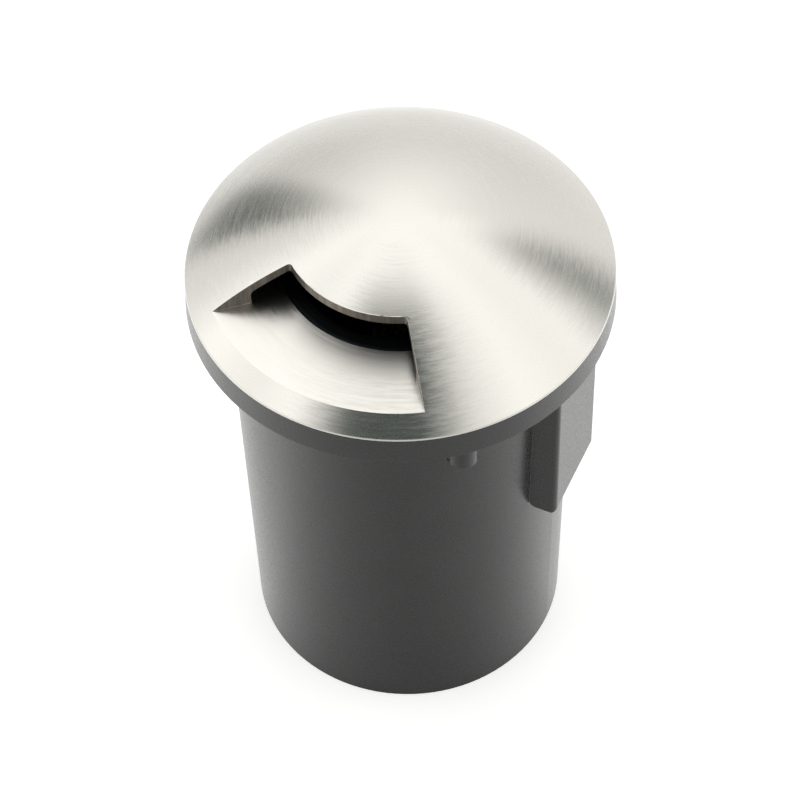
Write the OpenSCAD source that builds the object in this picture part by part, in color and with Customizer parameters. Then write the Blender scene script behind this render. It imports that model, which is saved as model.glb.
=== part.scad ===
// Recessed walk-over garden light: a turned metal cover with one side window, on a sealed
// canister that stands in a plastic ground sleeve. Millimetres, +Z up. The origin is the
// centre of the sleeve's flat foot, and +X points at the cable hood.

/* [Cover] */
// Diameter of the turned cover
cover_d = 110; // [100:0.5:130]
// Height of the cover above its flat underside
cover_h = 22.1; // [19:0.1:27]
// Thickness of the cover's thin outer edge
edge_t = 0.6; // [0.4:0.1:1.4]
// Thickness of the domed shell
shell_t = 2.5; // [1.8:0.1:3.2]
// Thickness of the flat lip that carries the shell and floors the window
lip_t = 4.8; // [4.6:0.1:5.6]
// How far the mouth bored through the lip stands inside the edge of the glass
mouth_in = 1.2; // [0.9:0.1:2]
// Width of the solid rim outside the undercut cavity
cover_rim_w = 15; // [13:0.5:20]
// Radius where the cavity's wall meets the shell
cavity_fillet_r = 2; // [1:0.1:3]
// Gap under the cover's overhanging edge
cover_gap = 0.5; // [0.3:0.1:1]

/* [Window] */
// Direction that the window faces, from +X
window_az = -96.9; // [-180:0.1:180]
// Angle between the window's two straight sides
window_spread = 85.6; // [50:0.1:110]
// Distance from the axis to the point where the two sides would meet
window_apex = 5.9; // [0:0.1:10]
// How far the window's curved back stands inside the mouth's edge
window_in = 1.4; // [0.4:0.1:4]
// Diameter of the cutter that leaves the window's inner corners round
cutter_d = 2; // [1:0.5:6]

/* [Sleeve] */
// Height of the sleeve
sleeve_h = 136.3; // [134:0.5:160]
// How far the sleeve's flange stands out past the cover
flange_out = 0.35; // [0:0.05:1.5]
// Height of the flange's outer band
flange_t = 7.6; // [7:0.1:10]
// Width of the flange's rim round the canister's seat
flange_rim_w = 4; // [3:0.1:4.4]
// How far the flange stands out from the sleeve's body
flange_over = 10.25; // [9.8:0.05:10.4]
// How much the body's radius falls from the flange to its foot
sleeve_taper = 1.75; // [0:0.05:2]
// Wall of the sleeve
sleeve_wall = 2.5; // [2:0.1:2.6]
// Thickness of the sleeve's floor
sleeve_floor_t = 3; // [2:0.1:5]
// Diameter of the middle drain hole
drain_mid_d = 12; // [6:0.5:15]
// Diameter of each outer drain hole
drain_d = 8; // [4:0.5:12]
// Distance from the sleeve's inner wall to the middles of the outer drain holes
drain_in = 12.85; // [7:0.05:18]
// Number of outer drain holes
drain_count = 6; // [4:1:8]

/* [Screw bosses] */
// Number of screw bosses
boss_count = 3; // [3:1:4]
// Direction of the first boss, from the cable hood
boss_az = -46.3; // [-50:0.1:-30]
// How far the middle of a boss stands outside the sleeve's body
boss_out = 0.9; // [0.6:0.1:1.4]
// Diameter of a boss
boss_d = 8.2; // [7.8:0.1:8.8]
// Length of a boss below the flange
boss_drop = 13.9; // [13:0.1:20]
// Outer diameter of a brass insert
insert_d = 5.4; // [5:0.1:5.8]
// Length of a brass insert
insert_l = 8; // [5:0.5:10]

/* [Cable hood] */
// Width of the cable hood
hood_w = 26.6; // [22:0.1:28]
// How far the hood's flat face stands out from the sleeve's body
hood_out = 4.7; // [3.4:0.1:5.9]
// Length of the hood below the flange
hood_drop = 55.8; // [40:0.1:70]
// Wall of the hood
hood_wall = 2.2; // [1.6:0.1:2.4]
// Radius of the hood's outer edges
hood_edge_r = 1.5; // [0.5:0.1:2.5]
// Radius of the lower inner corners of the hood's side walls
hood_corner_r = 2; // [1:0.1:3]
// Width of the cable's way through the sleeve below the hood
entry_w = 16; // [12:0.5:19]
// How far that way runs below the hood
entry_drop = 7.4; // [5:0.1:12]

/* [Canister] */
// Thickness of the canister's flange
can_flange_t = 4; // [3.2:0.1:4.4]
// Thickness of the rubber ring under that flange
seat_gasket_t = 1; // [0.6:0.1:1.5]
// Height of the thick hub under the flange
hub_h = 12; // [10:0.5:16]
// Width of the ledge that carries the glass
glass_ledge_w = 4.1; // [3.8:0.1:5]
// Wall of the canister
can_wall = 3.5; // [2.5:0.1:4.5]
// Thickness of the canister's floor
can_floor_t = 5; // [4:0.1:6]
// Room for the cable between the sleeve's floor and the gland
cable_room_h = 12.3; // [5:0.1:20]
// Depth of the room over the carrier plate, as a share of the canister's inside
optic_share = 0.345; // [0.32:0.005:0.38]
// Gap between the lugs and the driver board
driver_gap = 2; // [1:0.5:6]
// Width of the ledge that the carrier plate stands on
carrier_ledge_w = 1.5; // [1:0.1:2]
// Number of cooling fins
fin_count = 20; // [12:1:28]
// Thickness of a fin
fin_t = 1.8; // [1.2:0.1:2.4]
// Diameter of the small screws' cast lugs
lug_d = 7.2; // [6.5:0.1:8]
// Height of those lugs
lug_h = 12; // [9:0.5:14]

/* [Glass and clamp ring] */
// Width of the ledge for the clamp ring, outside the glass
clamp_ledge_w = 6.6; // [6:0.1:7.4]
// Thickness of the glass
glass_t = 5; // [4:0.5:6]
// Thickness of the rubber round the glass
glass_gasket_t = 1; // [0.8:0.1:1.1]
// Width of the rubber's lips over the glass
glass_lip_w = 2.8; // [2:0.1:3]
// Width of the clamp ring's spigot
spigot_w = 4; // [3.6:0.1:6]
// Thickness of the clamp ring's flange
clamp_t = 2.3; // [2:0.1:2.8]
// How far the ring's top edge stays below the window's floor
spigot_sink = 0.4; // [0.3:0.1:1]
// Number of clamp screws
clamp_screw_count = 6; // [4:1:8]
// Thickness of the rubber cord on which the cover turns
oring_t = 2.4; // [1.8:0.1:2.6]

/* [Light source and driver] */
// Thickness of the carrier plate
carrier_t = 4; // [3:0.5:6]
// Diameter of the light source's board, as a share of the canister's bore
led_board_share = 0.57; // [0.53:0.01:0.6]
// Thickness of the light source's board
led_board_t = 1.6; // [1:0.1:2]
// Side of the square light source, as a share of the lens
led_share = 0.53; // [0.4:0.01:0.56]
// Height of the light source
led_h = 1.2; // [0.8:0.1:1.4]
// Diameter of the lens, as a share of its board
lens_share = 0.545; // [0.5:0.005:0.57]
// Height of the lens
lens_h = 7; // [5:0.5:9]
// Wall of the glare baffle
baffle_wall = 1.2; // [0.9:0.1:1.6]
// Number of steps inside the glare baffle
baffle_steps = 6; // [4:1:10]
// Width of the driver board, as a share of the driver's room
driver_share = 0.836; // [0.8:0.002:0.86]
// Thickness of the driver board
driver_t = 1.6; // [1:0.1:2]
// Wall of the driver's insulating liner
liner_wall = 1.3; // [1:0.1:1.6]
// Diameter of an internal lead
lead_d = 1.5; // [1:0.1:1.8]

/* [Cable gland] */
// Diameter of the gland's upper thread
gland_thread_d = 16; // [14:0.5:17]
// Width across the flats of the gland's nuts
gland_flats = 20; // [19:0.5:22]
// Bore for the cable, through the gland
gland_bore_d = 7.8; // [6:0.1:8.6]
// Wall of the rubber seal round the cable
gland_seal_wall = 2.2; // [1.6:0.1:2.4]
// Length of the rubber seal
gland_seal_l = 11; // [8:0.5:13]
// Length of the gland's domed nut
gland_nut_l = 17; // [15:0.5:19]

/* [Hidden] */
$fn = 96;

// Clearances: parts that slide past each other, parts that run or screw into each other
slide_gap = 0.3;
run_gap = 0.05;
// Overrun of every cut
cut = 1;

// Levels, from the sleeve's foot up
rim_z = sleeve_h + cover_gap;
flange_z = sleeve_h - flange_t;
seat_z = rim_z - can_flange_t - seat_gasket_t;
clamp_sink = 0.2;
clamp_z = rim_z - clamp_sink - clamp_t;
shelf_z = clamp_z - glass_t - 2 * glass_gasket_t;
gland_washer_t = 1.5;
gland_collar_t = 5;
gland_gap = 1;
gland_nut_z = sleeve_floor_t + cable_room_h;
gland_nut_top_z = gland_nut_z + gland_nut_l;
gland_collar_z = gland_nut_top_z + gland_gap;
can_foot_z = gland_collar_z + gland_collar_t + gland_washer_t;
can_floor_z = can_foot_z + can_floor_t;
carrier_z = shelf_z - (shelf_z - can_floor_z) * optic_share;
hub_z = rim_z - can_flange_t - hub_h;
led_board_z = carrier_z + carrier_t;
optic_z = led_board_z + led_board_t;

// Radii, from the cover in
cover_r = cover_d / 2;
flange_r = cover_r + flange_out;
seat_r = flange_r - flange_rim_w;
sleeve_top_r = flange_r - flange_over;
sleeve_foot_r = sleeve_top_r - sleeve_taper;
cavity_top_r = sleeve_top_r - sleeve_wall;
cavity_foot_r = sleeve_foot_r - sleeve_wall;
hub_gap = 1.6;
hub_r = cavity_top_r - hub_gap;
fin_back = 1.05;
fin_r = hub_r - fin_back;
clamp_pocket_wall = 1.3;
clamp_pocket_r = hub_r - clamp_pocket_wall;
clamp_r = clamp_pocket_r - slide_gap;
glass_fit = 0.1;
glass_pocket_r = clamp_pocket_r - clamp_ledge_w;
glass_gasket_r = glass_pocket_r - glass_fit;
glass_r = glass_gasket_r - glass_gasket_t;
mouth_r = glass_r - mouth_in;
spigot_r = mouth_r - slide_gap;
core_r = glass_pocket_r - glass_ledge_w;
room_r = core_r - carrier_ledge_w;

// Cover
cap_rise = cover_h - edge_t;
cap_r = (pow(cover_r, 2) + pow(cap_rise, 2)) / (2 * cap_rise);
cap_z = rim_z + cover_h - cap_r;
cap_in_r = cap_r - shell_t;
cavity_r = cover_r - cover_rim_w;
lip_z = rim_z + lip_t;
fillet_x = cavity_r - cavity_fillet_r;
fillet_z = cap_z + sqrt(pow(cap_in_r - cavity_fillet_r, 2) - pow(fillet_x, 2));
corner_steps = 6;
corner_sweep_share = 0.92;

// Sleeve
drain_circle_r = cavity_foot_r - drain_in;
boss_circle_r = sleeve_top_r + boss_out;
boss_foot_z = flange_z - boss_drop;
hood_reach = sleeve_top_r + hood_out;
hood_foot_z = flange_z - hood_drop;
hood_root_r = sleeve_foot_r + sleeve_taper * hood_foot_z / flange_z;
hood_root_x = sqrt(pow(hood_root_r, 2) - pow(hood_w / 2, 2));
entry_in_r = cavity_foot_r - 2 * sleeve_wall;

// Mounting screws, countersunk
mount_screw_d = 4;
mount_head_d = 8;
mount_head_h = 2.3;
mount_screw_l = 16;
mount_hex = 2.5;
head_sink = 0.3;
screw_tip_room = 1.5;
hex_share = 1 / cos(30);
socket_share = 0.7;
pan_top_share = 0.8;
pan_hex_share = 0.6;

// Canister
can_flange_r = seat_r - slide_gap;
fin_foot_rise = 8;
fin_slope_w = 6;
lug_r = lug_d / 2;
lug_circle_r = room_r - lug_r + carrier_ledge_w;
lug_count = 3;
lug_az = 90;

// Clamp ring and its screws
clamp_screw_d = 3;
clamp_head_d = 5.5;
clamp_head_h = 1.65;
clamp_screw_l = 8;
clamp_hex = 2;
clamp_screw_r = (glass_pocket_r + clamp_pocket_r) / 2;
spigot_z = lip_z - spigot_sink;
oring_r = oring_t / 2;
oring_mid_r = mouth_r - run_gap - oring_r;
groove_r = oring_mid_r - oring_r - run_gap;
groove_play = 0.2;
oring_z = (rim_z + spigot_z) / 2;

// Light source
carrier_fit = 0.15;
carrier_screw_d = 3;
carrier_head_d = 5.4;
carrier_head_h = 1.8;
carrier_screw_l = 10;
board_screw_d = 2.5;
board_head_d = 4.2;
board_head_h = 1.5;
board_screw_l = 6;
led_board_r = core_r * led_board_share;
lens_r = led_board_r * lens_share;
led_w = 2 * lens_r * led_share;
lens_rim_h = 3;
lens_play = 0.3;
lens_room_r = led_w / sqrt(2) + lens_play;
baffle_foot_r = lens_r + lens_play;
baffle_flange_r = led_board_r - 2 * lens_play;
baffle_flange_t = 1.6;
baffle_top_r = core_r - slide_gap;
baffle_top_gap = 0.6;
board_screw_out = 0.4;
board_screw_r = (baffle_foot_r + baffle_wall + baffle_flange_r) / 2 + board_screw_out;
board_az = lug_az - 180 / lug_count;

// Leads and driver
lead_r = lead_d / 2;
lead_bend_r = 2;
lead_x = led_board_r + lead_bend_r + lead_d;
lead_way_d = 7;
lead_pad_w = 2.5;
lead_y = driver_t / 2 + lead_r;
lead_solder_l = 4;
liner_r = room_r - slide_gap;
liner_in_r = liner_r - liner_wall;
guide_w = 3;
guide_wall = 1.5;
guide_play = 0.1;
gland_locknut_t = 4;
gland_tip = 1.5;
part_gap = 0.1;
driver_play = 0.5;
driver_w = 2 * room_r * driver_share;
driver_top_z = carrier_z - lug_h - driver_gap;
driver_z = can_floor_z + gland_locknut_t + gland_tip + driver_play;
driver_h = driver_top_z - driver_z;
liner_h = driver_top_z - lead_solder_l - slide_gap - can_floor_z;
trafo_share = 0.44;
trafo_w = 15;
trafo_h = driver_h * trafo_share;
trafo_deep = 13;
trafo_z = driver_z + driver_h / 2;
capacitor_share = 0.235;
capacitor_d = driver_h * capacitor_share;
capacitor_l = 12;
capacitor_count = 2;
capacitor_gap = 1.5;
capacitor_step = capacitor_d + capacitor_gap;
choke_share = 0.26;
choke_d = driver_h * choke_share;
choke_l = 10;
choke_core_share = 0.8;
choke_wind_share = 0.6;
terminal_w = 15;
terminal_share = 0.265;
terminal_h = driver_h * terminal_share;
terminal_deep = 9;
terminal_ways = 3;
terminal_way_d_share = 0.28;
terminal_way_d = terminal_h * terminal_way_d_share;
terminal_way_share = 0.6;
earth_screw_d = 4;
earth_head_d = 7;
earth_head_h = 2.4;
earth_washer_d = 9;
earth_washer_t = 0.8;
earth_play = 1;
earth_r = liner_in_r - earth_washer_d / 2 - earth_play;

// Cable gland
gland_hex_d = gland_flats * hex_share;
gland_thread_r = gland_thread_d / 2;
gland_bore_r = gland_bore_d / 2;
gland_seal_r = gland_bore_r + gland_seal_wall;
gland_skin = 1.2;
gland_low_r = gland_seal_r + run_gap + gland_skin;
gland_low_l = 9;
gland_nut_lip = 2;
gland_hex_l_share = 0.6;

// Copies of a child, evenly spaced round the axis
module ring(count, radius, start = 0) {
    for (i = [0:count - 1])
        rotate([0, 0, start + i * 360 / count]) translate([radius, 0, 0]) children();
}

// A countersunk screw, its flat head's top at height 0
module flat_screw(d, length, head_d, head_h, hex) {
    difference() {
        union() {
            translate([0, 0, -head_h]) cylinder(h = head_h, d1 = d, d2 = head_d);
            translate([0, 0, -length]) cylinder(h = length, d = d);
        }
        translate([0, 0, -head_h * socket_share]) cylinder(h = head_h, d = hex * hex_share, $fn = 6);
    }
}

// The hole of such a screw: a clear way and the head's cone, open at height 0
module flat_screw_hole(d, depth, head_d, head_h, gap) {
    translate([0, 0, -head_h]) cylinder(h = head_h, d1 = d + 2 * gap, d2 = head_d + 2 * gap);
    translate([0, 0, -gap]) cylinder(h = cut + gap, d = head_d + 2 * gap);
    translate([0, 0, -depth]) cylinder(h = depth, d = d + 2 * gap);
}

// A pan head screw that stands on height 0
module pan_screw(d, length, head_d, head_h) {
    difference() {
        union() {
            cylinder(h = head_h, d1 = head_d, d2 = head_d * pan_top_share);
            translate([0, 0, -length]) cylinder(h = length, d = d);
        }
        translate([0, 0, head_h / 2]) cylinder(h = head_h, d = d * pan_hex_share, $fn = 6);
    }
}

// Outline of the cover's undercut cavity, right of the axis: a straight wall, a fillet
// and the inside of the shell
module cavity_outline() {
    fillet_share = cavity_fillet_r / (cap_in_r - cavity_fillet_r);
    touch = [fillet_x, fillet_z] + ([fillet_x, fillet_z] - [0, cap_z]) * fillet_share;
    intersection() {
        translate([0, cap_z]) circle(r = cap_in_r, $fn = 180);
        polygon([[0, lip_z], [cavity_r, lip_z], [cavity_r, fillet_z], [fillet_x, fillet_z],
            touch, [touch[0], lip_z + cover_h], [0, lip_z + cover_h]]);
    }
    translate([fillet_x, fillet_z]) circle(r = cavity_fillet_r);
}

// Plan of the milled window, facing +X: two straight sides, a curved back and corners
// that the cutter leaves round, each stopped just short of the curved back
module window_plan() {
    half = window_spread / 2;
    back_r = mouth_r - window_in;
    bit_r = cutter_d / 2;
    apex_far = window_apex * cos(half);
    bit_far = pow(window_apex, 2) + pow(bit_r, 2) + 2 * bit_r * window_apex * sin(half);
    bit_run = -apex_far + sqrt(pow(apex_far, 2) - bit_far + pow(back_r + bit_r, 2));
    side = [window_apex + bit_run * cos(half), bit_run * sin(half)];
    bit = side + [sin(half), -cos(half)] * bit_r;
    start = 90 + half;
    sweep = (180 + atan2(bit[1], bit[0]) - start) * corner_sweep_share;
    corner = [for (i = [0:corner_steps])
        bit + [cos(start + sweep * i / corner_steps), sin(start + sweep * i / corner_steps)] * bit_r];
    far = [window_apex + cover_d * cos(half), cover_d * sin(half)];
    other = [for (i = [corner_steps:-1:0]) [corner[i][0], -corner[i][1]]];
    difference() {
        polygon(concat([far], corner, [[0, 0]], other, [[far[0], -far[1]]]));
        circle(r = back_r, $fn = 180);
    }
}

module dome_cover() {
    color("gainsboro") difference() {
        intersection() {
            translate([0, 0, cap_z]) sphere(r = cap_r, $fn = 180);
            translate([0, 0, rim_z]) cylinder(h = cover_h + cut, r = cover_r, $fn = 180);
        }
        translate([0, 0, rim_z - cut]) cylinder(h = lip_t + 2 * cut, r = mouth_r);
        rotate_extrude($fn = 180) cavity_outline();
        rotate([0, 0, window_az]) translate([0, 0, lip_z])
            linear_extrude(height = cover_h) window_plan();
    }
}

module cover_oring() {
    color("black") translate([0, 0, oring_z])
        rotate_extrude() translate([oring_mid_r, 0]) circle(r = oring_r, $fn = 48);
}

// Outline of the cable hood in plan, with its two outer edges rounded
module hood_plan(reach, width, edge_r) {
    translate([0, -width / 2]) square([reach - edge_r, width]);
    translate([0, -width / 2 + edge_r]) square([reach, width - 2 * edge_r]);
    for (side = [-1, 1])
        translate([reach - edge_r, side * (width / 2 - edge_r)]) circle(r = edge_r, $fn = 32);
}

// Outline of the cable hood from the side: its foot is rounded outside, and inside, where
// each side wall ends just clear of the sleeve's body
module hood_profile() {
    foot_x = hood_root_x + hood_corner_r;
    translate([foot_x, hood_foot_z]) square([hood_reach - hood_edge_r - foot_x, hood_drop]);
    translate([foot_x, hood_foot_z + hood_edge_r])
        square([hood_reach - foot_x, hood_drop - hood_edge_r]);
    translate([0, hood_foot_z + hood_corner_r]) square([hood_reach, hood_drop - hood_corner_r]);
    translate([hood_reach - hood_edge_r, hood_foot_z + hood_edge_r])
        circle(r = hood_edge_r, $fn = 32);
    translate([foot_x, hood_foot_z + hood_corner_r]) circle(r = hood_corner_r, $fn = 32);
}

module hood() {
    intersection() {
        translate([0, 0, hood_foot_z])
            linear_extrude(height = hood_drop) hood_plan(hood_reach, hood_w, hood_edge_r);
        rotate([90, 0, 0]) linear_extrude(height = hood_w + cut, center = true) hood_profile();
    }
}

// The cable's way: up inside the hood, and in through the sleeve's wall
module hood_room() {
    room_w = hood_w - 2 * hood_wall;
    room_reach = hood_reach - hood_wall;
    translate([entry_in_r, -room_w / 2, hood_foot_z - cut])
        cube([room_reach - entry_in_r, room_w, hood_drop - hood_wall + cut]);
    translate([entry_in_r, -entry_w / 2, hood_foot_z - entry_drop])
        cube([hood_reach - entry_in_r, entry_w, entry_drop]);
}

module ground_sleeve() {
    insert_foot_z = seat_z - insert_l;
    tip_z = rim_z - head_sink - mount_screw_l - screw_tip_room;
    color("dimgray") difference() {
        union() {
            difference() {
                union() {
                    translate([0, 0, flange_z]) cylinder(h = flange_t, r = flange_r, $fn = 180);
                    cylinder(h = flange_z, r1 = sleeve_foot_r, r2 = sleeve_top_r, $fn = 180);
                    hood();
                }
                translate([0, 0, sleeve_floor_t]) cylinder(h = flange_z - sleeve_floor_t,
                    r1 = cavity_foot_r, r2 = cavity_top_r, $fn = 180);
                translate([0, 0, flange_z - cut])
                    cylinder(h = flange_t + 2 * cut, r = cavity_top_r, $fn = 180);
                hood_room();
            }
            ring(boss_count, boss_circle_r, boss_az) translate([0, 0, boss_foot_z])
                cylinder(h = seat_z - boss_foot_z, d = boss_d);
        }
        translate([0, 0, seat_z]) cylinder(h = flange_t + cut, r = seat_r, $fn = 180);
        ring(boss_count, boss_circle_r, boss_az) {
            translate([0, 0, insert_foot_z]) cylinder(h = insert_l + cut, d = insert_d);
            translate([0, 0, tip_z]) cylinder(h = seat_z - tip_z, d = mount_screw_d + 2 * slide_gap);
        }
        translate([0, 0, -cut]) cylinder(h = sleeve_floor_t + 2 * cut, d = drain_mid_d);
        ring(drain_count, drain_circle_r) translate([0, 0, -cut])
            cylinder(h = sleeve_floor_t + 2 * cut, d = drain_d);
    }
}

// A heat-set insert: a grooved brass bush with a clear bore for the screw
module boss_inserts() {
    groove_w = insert_l / 5;
    groove_deep = run_gap * 4;
    color("goldenrod") ring(boss_count, boss_circle_r, boss_az)
        translate([0, 0, seat_z - insert_l]) difference() {
            cylinder(h = insert_l, d = insert_d);
            translate([0, 0, -cut])
                cylinder(h = insert_l + 2 * cut, d = mount_screw_d + 2 * run_gap);
            for (level = [1, 3]) translate([0, 0, level * groove_w]) difference() {
                cylinder(h = groove_w, d = insert_d + cut);
                translate([0, 0, -cut])
                    cylinder(h = groove_w + 2 * cut, d = insert_d - 2 * groove_deep);
            }
        }
}

module seat_gasket() {
    in_r = cavity_top_r + slide_gap;
    color("black") difference() {
        translate([0, 0, seat_z]) cylinder(h = seat_gasket_t, r = can_flange_r);
        translate([0, 0, seat_z - cut]) cylinder(h = seat_gasket_t + 2 * cut, r = in_r);
        ring(boss_count, boss_circle_r, boss_az) translate([0, 0, seat_z - cut])
            cylinder(h = seat_gasket_t + 2 * cut, d = insert_d - 2 * slide_gap);
    }
}

module mount_screws() {
    color("silver") ring(boss_count, boss_circle_r, boss_az)
        translate([0, 0, rim_z - head_sink])
            flat_screw(mount_screw_d, mount_screw_l, mount_head_d, mount_head_h, mount_hex);
}

// One cast cooling fin, standing out along +X, cut back at its foot
module fin() {
    root_r = room_r + can_wall / 2;
    foot_z = can_foot_z + fin_foot_rise;
    rotate([90, 0, 0]) linear_extrude(height = fin_t, center = true)
        polygon([[root_r, foot_z], [fin_r - fin_slope_w, foot_z],
            [fin_r, foot_z + fin_slope_w], [fin_r, hub_z + cut], [root_r, hub_z + cut]]);
}

module housing() {
    color("darkgray") difference() {
        union() {
            difference() {
                union() {
                    translate([0, 0, rim_z - can_flange_t])
                        cylinder(h = can_flange_t, r = can_flange_r, $fn = 180);
                    translate([0, 0, hub_z]) cylinder(h = hub_h + cut, r = hub_r, $fn = 180);
                    translate([0, 0, carrier_z - carrier_t]) cylinder(
                        h = hub_z - carrier_z + carrier_t + cut, r = core_r + can_wall);
                    translate([0, 0, can_foot_z])
                        cylinder(h = carrier_z - can_foot_z, r = room_r + can_wall);
                    ring(fin_count, 0) fin();
                }
                translate([0, 0, clamp_z]) cylinder(h = rim_z - clamp_z + cut, r = clamp_pocket_r);
                translate([0, 0, shelf_z]) cylinder(h = rim_z - shelf_z, r = glass_pocket_r);
                translate([0, 0, carrier_z]) cylinder(h = rim_z - carrier_z, r = core_r);
                translate([0, 0, can_floor_z]) cylinder(h = rim_z - can_floor_z, r = room_r);
            }
            intersection() {
                ring(lug_count, lug_circle_r, lug_az) translate([0, 0, carrier_z - lug_h])
                    cylinder(h = lug_h, r = lug_r);
                cylinder(h = rim_z, r = room_r + can_wall / 2);
            }
        }
        ring(boss_count, boss_circle_r, boss_az) translate([0, 0, rim_z - head_sink])
            flat_screw_hole(mount_screw_d, can_flange_t + cut, mount_head_d, mount_head_h,
                run_gap);
        ring(clamp_screw_count, clamp_screw_r) translate([0, 0, clamp_z - clamp_screw_l])
            cylinder(h = clamp_screw_l + cut, d = clamp_screw_d + 2 * run_gap);
        ring(lug_count, lug_circle_r, lug_az) translate([0, 0, carrier_z - lug_h / 2 - cut])
            cylinder(h = lug_h / 2 + 2 * cut, d = carrier_screw_d + 2 * run_gap);
        translate([0, 0, can_foot_z - cut])
            cylinder(h = can_floor_t + 2 * cut, r = gland_thread_r + run_gap);
        translate([0, -earth_r, can_foot_z + can_floor_t / 4])
            cylinder(h = can_floor_t, d = earth_screw_d + 2 * run_gap);
    }
}

// Rubber of U section that grips the glass edge
module glass_gasket() {
    lip_r = glass_r - glass_lip_w;
    color("black") difference() {
        translate([0, 0, shelf_z])
            cylinder(h = glass_t + 2 * glass_gasket_t, r = glass_gasket_r);
        translate([0, 0, shelf_z + glass_gasket_t]) cylinder(h = glass_t, r = glass_r);
        translate([0, 0, shelf_z - cut])
            cylinder(h = glass_t + 2 * glass_gasket_t + 2 * cut, r = lip_r);
    }
}

// Toughened disc with ground edges
module glass() {
    bevel = glass_t / 10;
    low_z = shelf_z + glass_gasket_t;
    color("lightcyan", 0.5) rotate_extrude() polygon([[0, low_z], [glass_r - bevel, low_z],
        [glass_r, low_z + bevel], [glass_r, low_z + glass_t - bevel],
        [glass_r - bevel, low_z + glass_t], [0, low_z + glass_t]]);
}

// Clamp ring: a screwed flange, and a spigot with the groove for the cover's rubber cord
module clamp_ring() {
    in_r = spigot_r - spigot_w;
    groove_h = oring_t + 2 * groove_play;
    groove_z = oring_z - groove_h / 2;
    flange_top_z = clamp_z + clamp_t;
    bevel = spigot_sink;
    color("black") difference() {
        rotate_extrude() polygon([[in_r, clamp_z], [clamp_r, clamp_z], [clamp_r, flange_top_z],
            [spigot_r, flange_top_z], [spigot_r, groove_z], [groove_r, groove_z],
            [groove_r, groove_z + groove_h], [spigot_r, groove_z + groove_h],
            [spigot_r, spigot_z - bevel], [spigot_r - bevel, spigot_z],
            [in_r + bevel, spigot_z], [in_r, spigot_z - bevel]]);
        ring(clamp_screw_count, clamp_screw_r) translate([0, 0, flange_top_z])
            flat_screw_hole(clamp_screw_d, clamp_t + cut, clamp_head_d, clamp_head_h, run_gap);
    }
}

module clamp_screws() {
    color("silver") ring(clamp_screw_count, clamp_screw_r)
        translate([0, 0, clamp_z + clamp_t])
            flat_screw(clamp_screw_d, clamp_screw_l, clamp_head_d, clamp_head_h, clamp_hex);
}

// Black stepped cone round the lens, on a flange that the board screws hold
module glare_baffle() {
    top_z = shelf_z - baffle_top_gap;
    low_z = optic_z + baffle_flange_t;
    rise = (top_z - low_z) / baffle_steps;
    grow = (baffle_top_r - baffle_wall - baffle_foot_r) / baffle_steps;
    inside = [for (i = [0:baffle_steps - 1], up = [0, 1])
        [baffle_foot_r + i * grow, low_z + (i + up) * rise]];
    outside = [[baffle_top_r - baffle_wall, top_z], [baffle_top_r, top_z],
        [baffle_foot_r + baffle_wall, low_z], [baffle_flange_r, low_z],
        [baffle_flange_r, optic_z], [baffle_foot_r, optic_z]];
    color("black") difference() {
        rotate_extrude() polygon(concat(inside, outside));
        translate([board_screw_r, -lead_way_d / 2, optic_z - cut])
            cube([lead_way_d, lead_way_d, baffle_flange_t + 2 * cut]);
        ring(lug_count, board_screw_r, board_az) translate([0, 0, optic_z - cut])
            cylinder(h = baffle_flange_t + 2 * cut, d = board_screw_d + 2 * run_gap);
    }
}

// Domed lens with a recess over the light source
module lens() {
    dome_h = lens_h - lens_rim_h;
    dome_r = (pow(lens_r, 2) + pow(dome_h, 2)) / (2 * dome_h);
    color("white", 0.6) translate([0, 0, optic_z]) difference() {
        union() {
            cylinder(h = lens_rim_h, r = lens_r);
            intersection() {
                translate([0, 0, lens_h - dome_r]) sphere(r = dome_r);
                cylinder(h = lens_h + cut, r = lens_r);
            }
        }
        translate([0, 0, -cut]) cylinder(h = led_h + lens_play + cut, r = lens_room_r);
    }
}

module led_emitter() {
    color("khaki") translate([-led_w / 2, -led_w / 2, optic_z]) cube([led_w, led_w, led_h]);
}

module led_board() {
    color("white") translate([0, 0, led_board_z]) difference() {
        cylinder(h = led_board_t, r = led_board_r);
        ring(lug_count, board_screw_r, board_az) translate([0, 0, -cut])
            cylinder(h = led_board_t + 2 * cut, d = board_screw_d + 2 * run_gap);
    }
}

module board_screws() {
    color("silver") ring(lug_count, board_screw_r, board_az)
        translate([0, 0, optic_z + baffle_flange_t])
            pan_screw(board_screw_d, board_screw_l, board_head_d, board_head_h);
}

module carrier_plate() {
    color("lightgray") translate([0, 0, carrier_z]) difference() {
        cylinder(h = carrier_t, r = core_r - carrier_fit);
        ring(lug_count, lug_circle_r, lug_az) translate([0, 0, -cut])
            cylinder(h = carrier_t + 2 * cut, d = carrier_screw_d + 2 * run_gap);
        ring(lug_count, board_screw_r, board_az) translate([0, 0, -cut])
            cylinder(h = carrier_t + 2 * cut, d = board_screw_d + 2 * run_gap);
        translate([lead_x, 0, -cut]) cylinder(h = carrier_t + 2 * cut, d = lead_way_d);
    }
}

module carrier_screws() {
    color("silver") ring(lug_count, lug_circle_r, lug_az) translate([0, 0, led_board_z])
        pan_screw(carrier_screw_d, carrier_screw_l, carrier_head_d, carrier_head_h);
}

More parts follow.
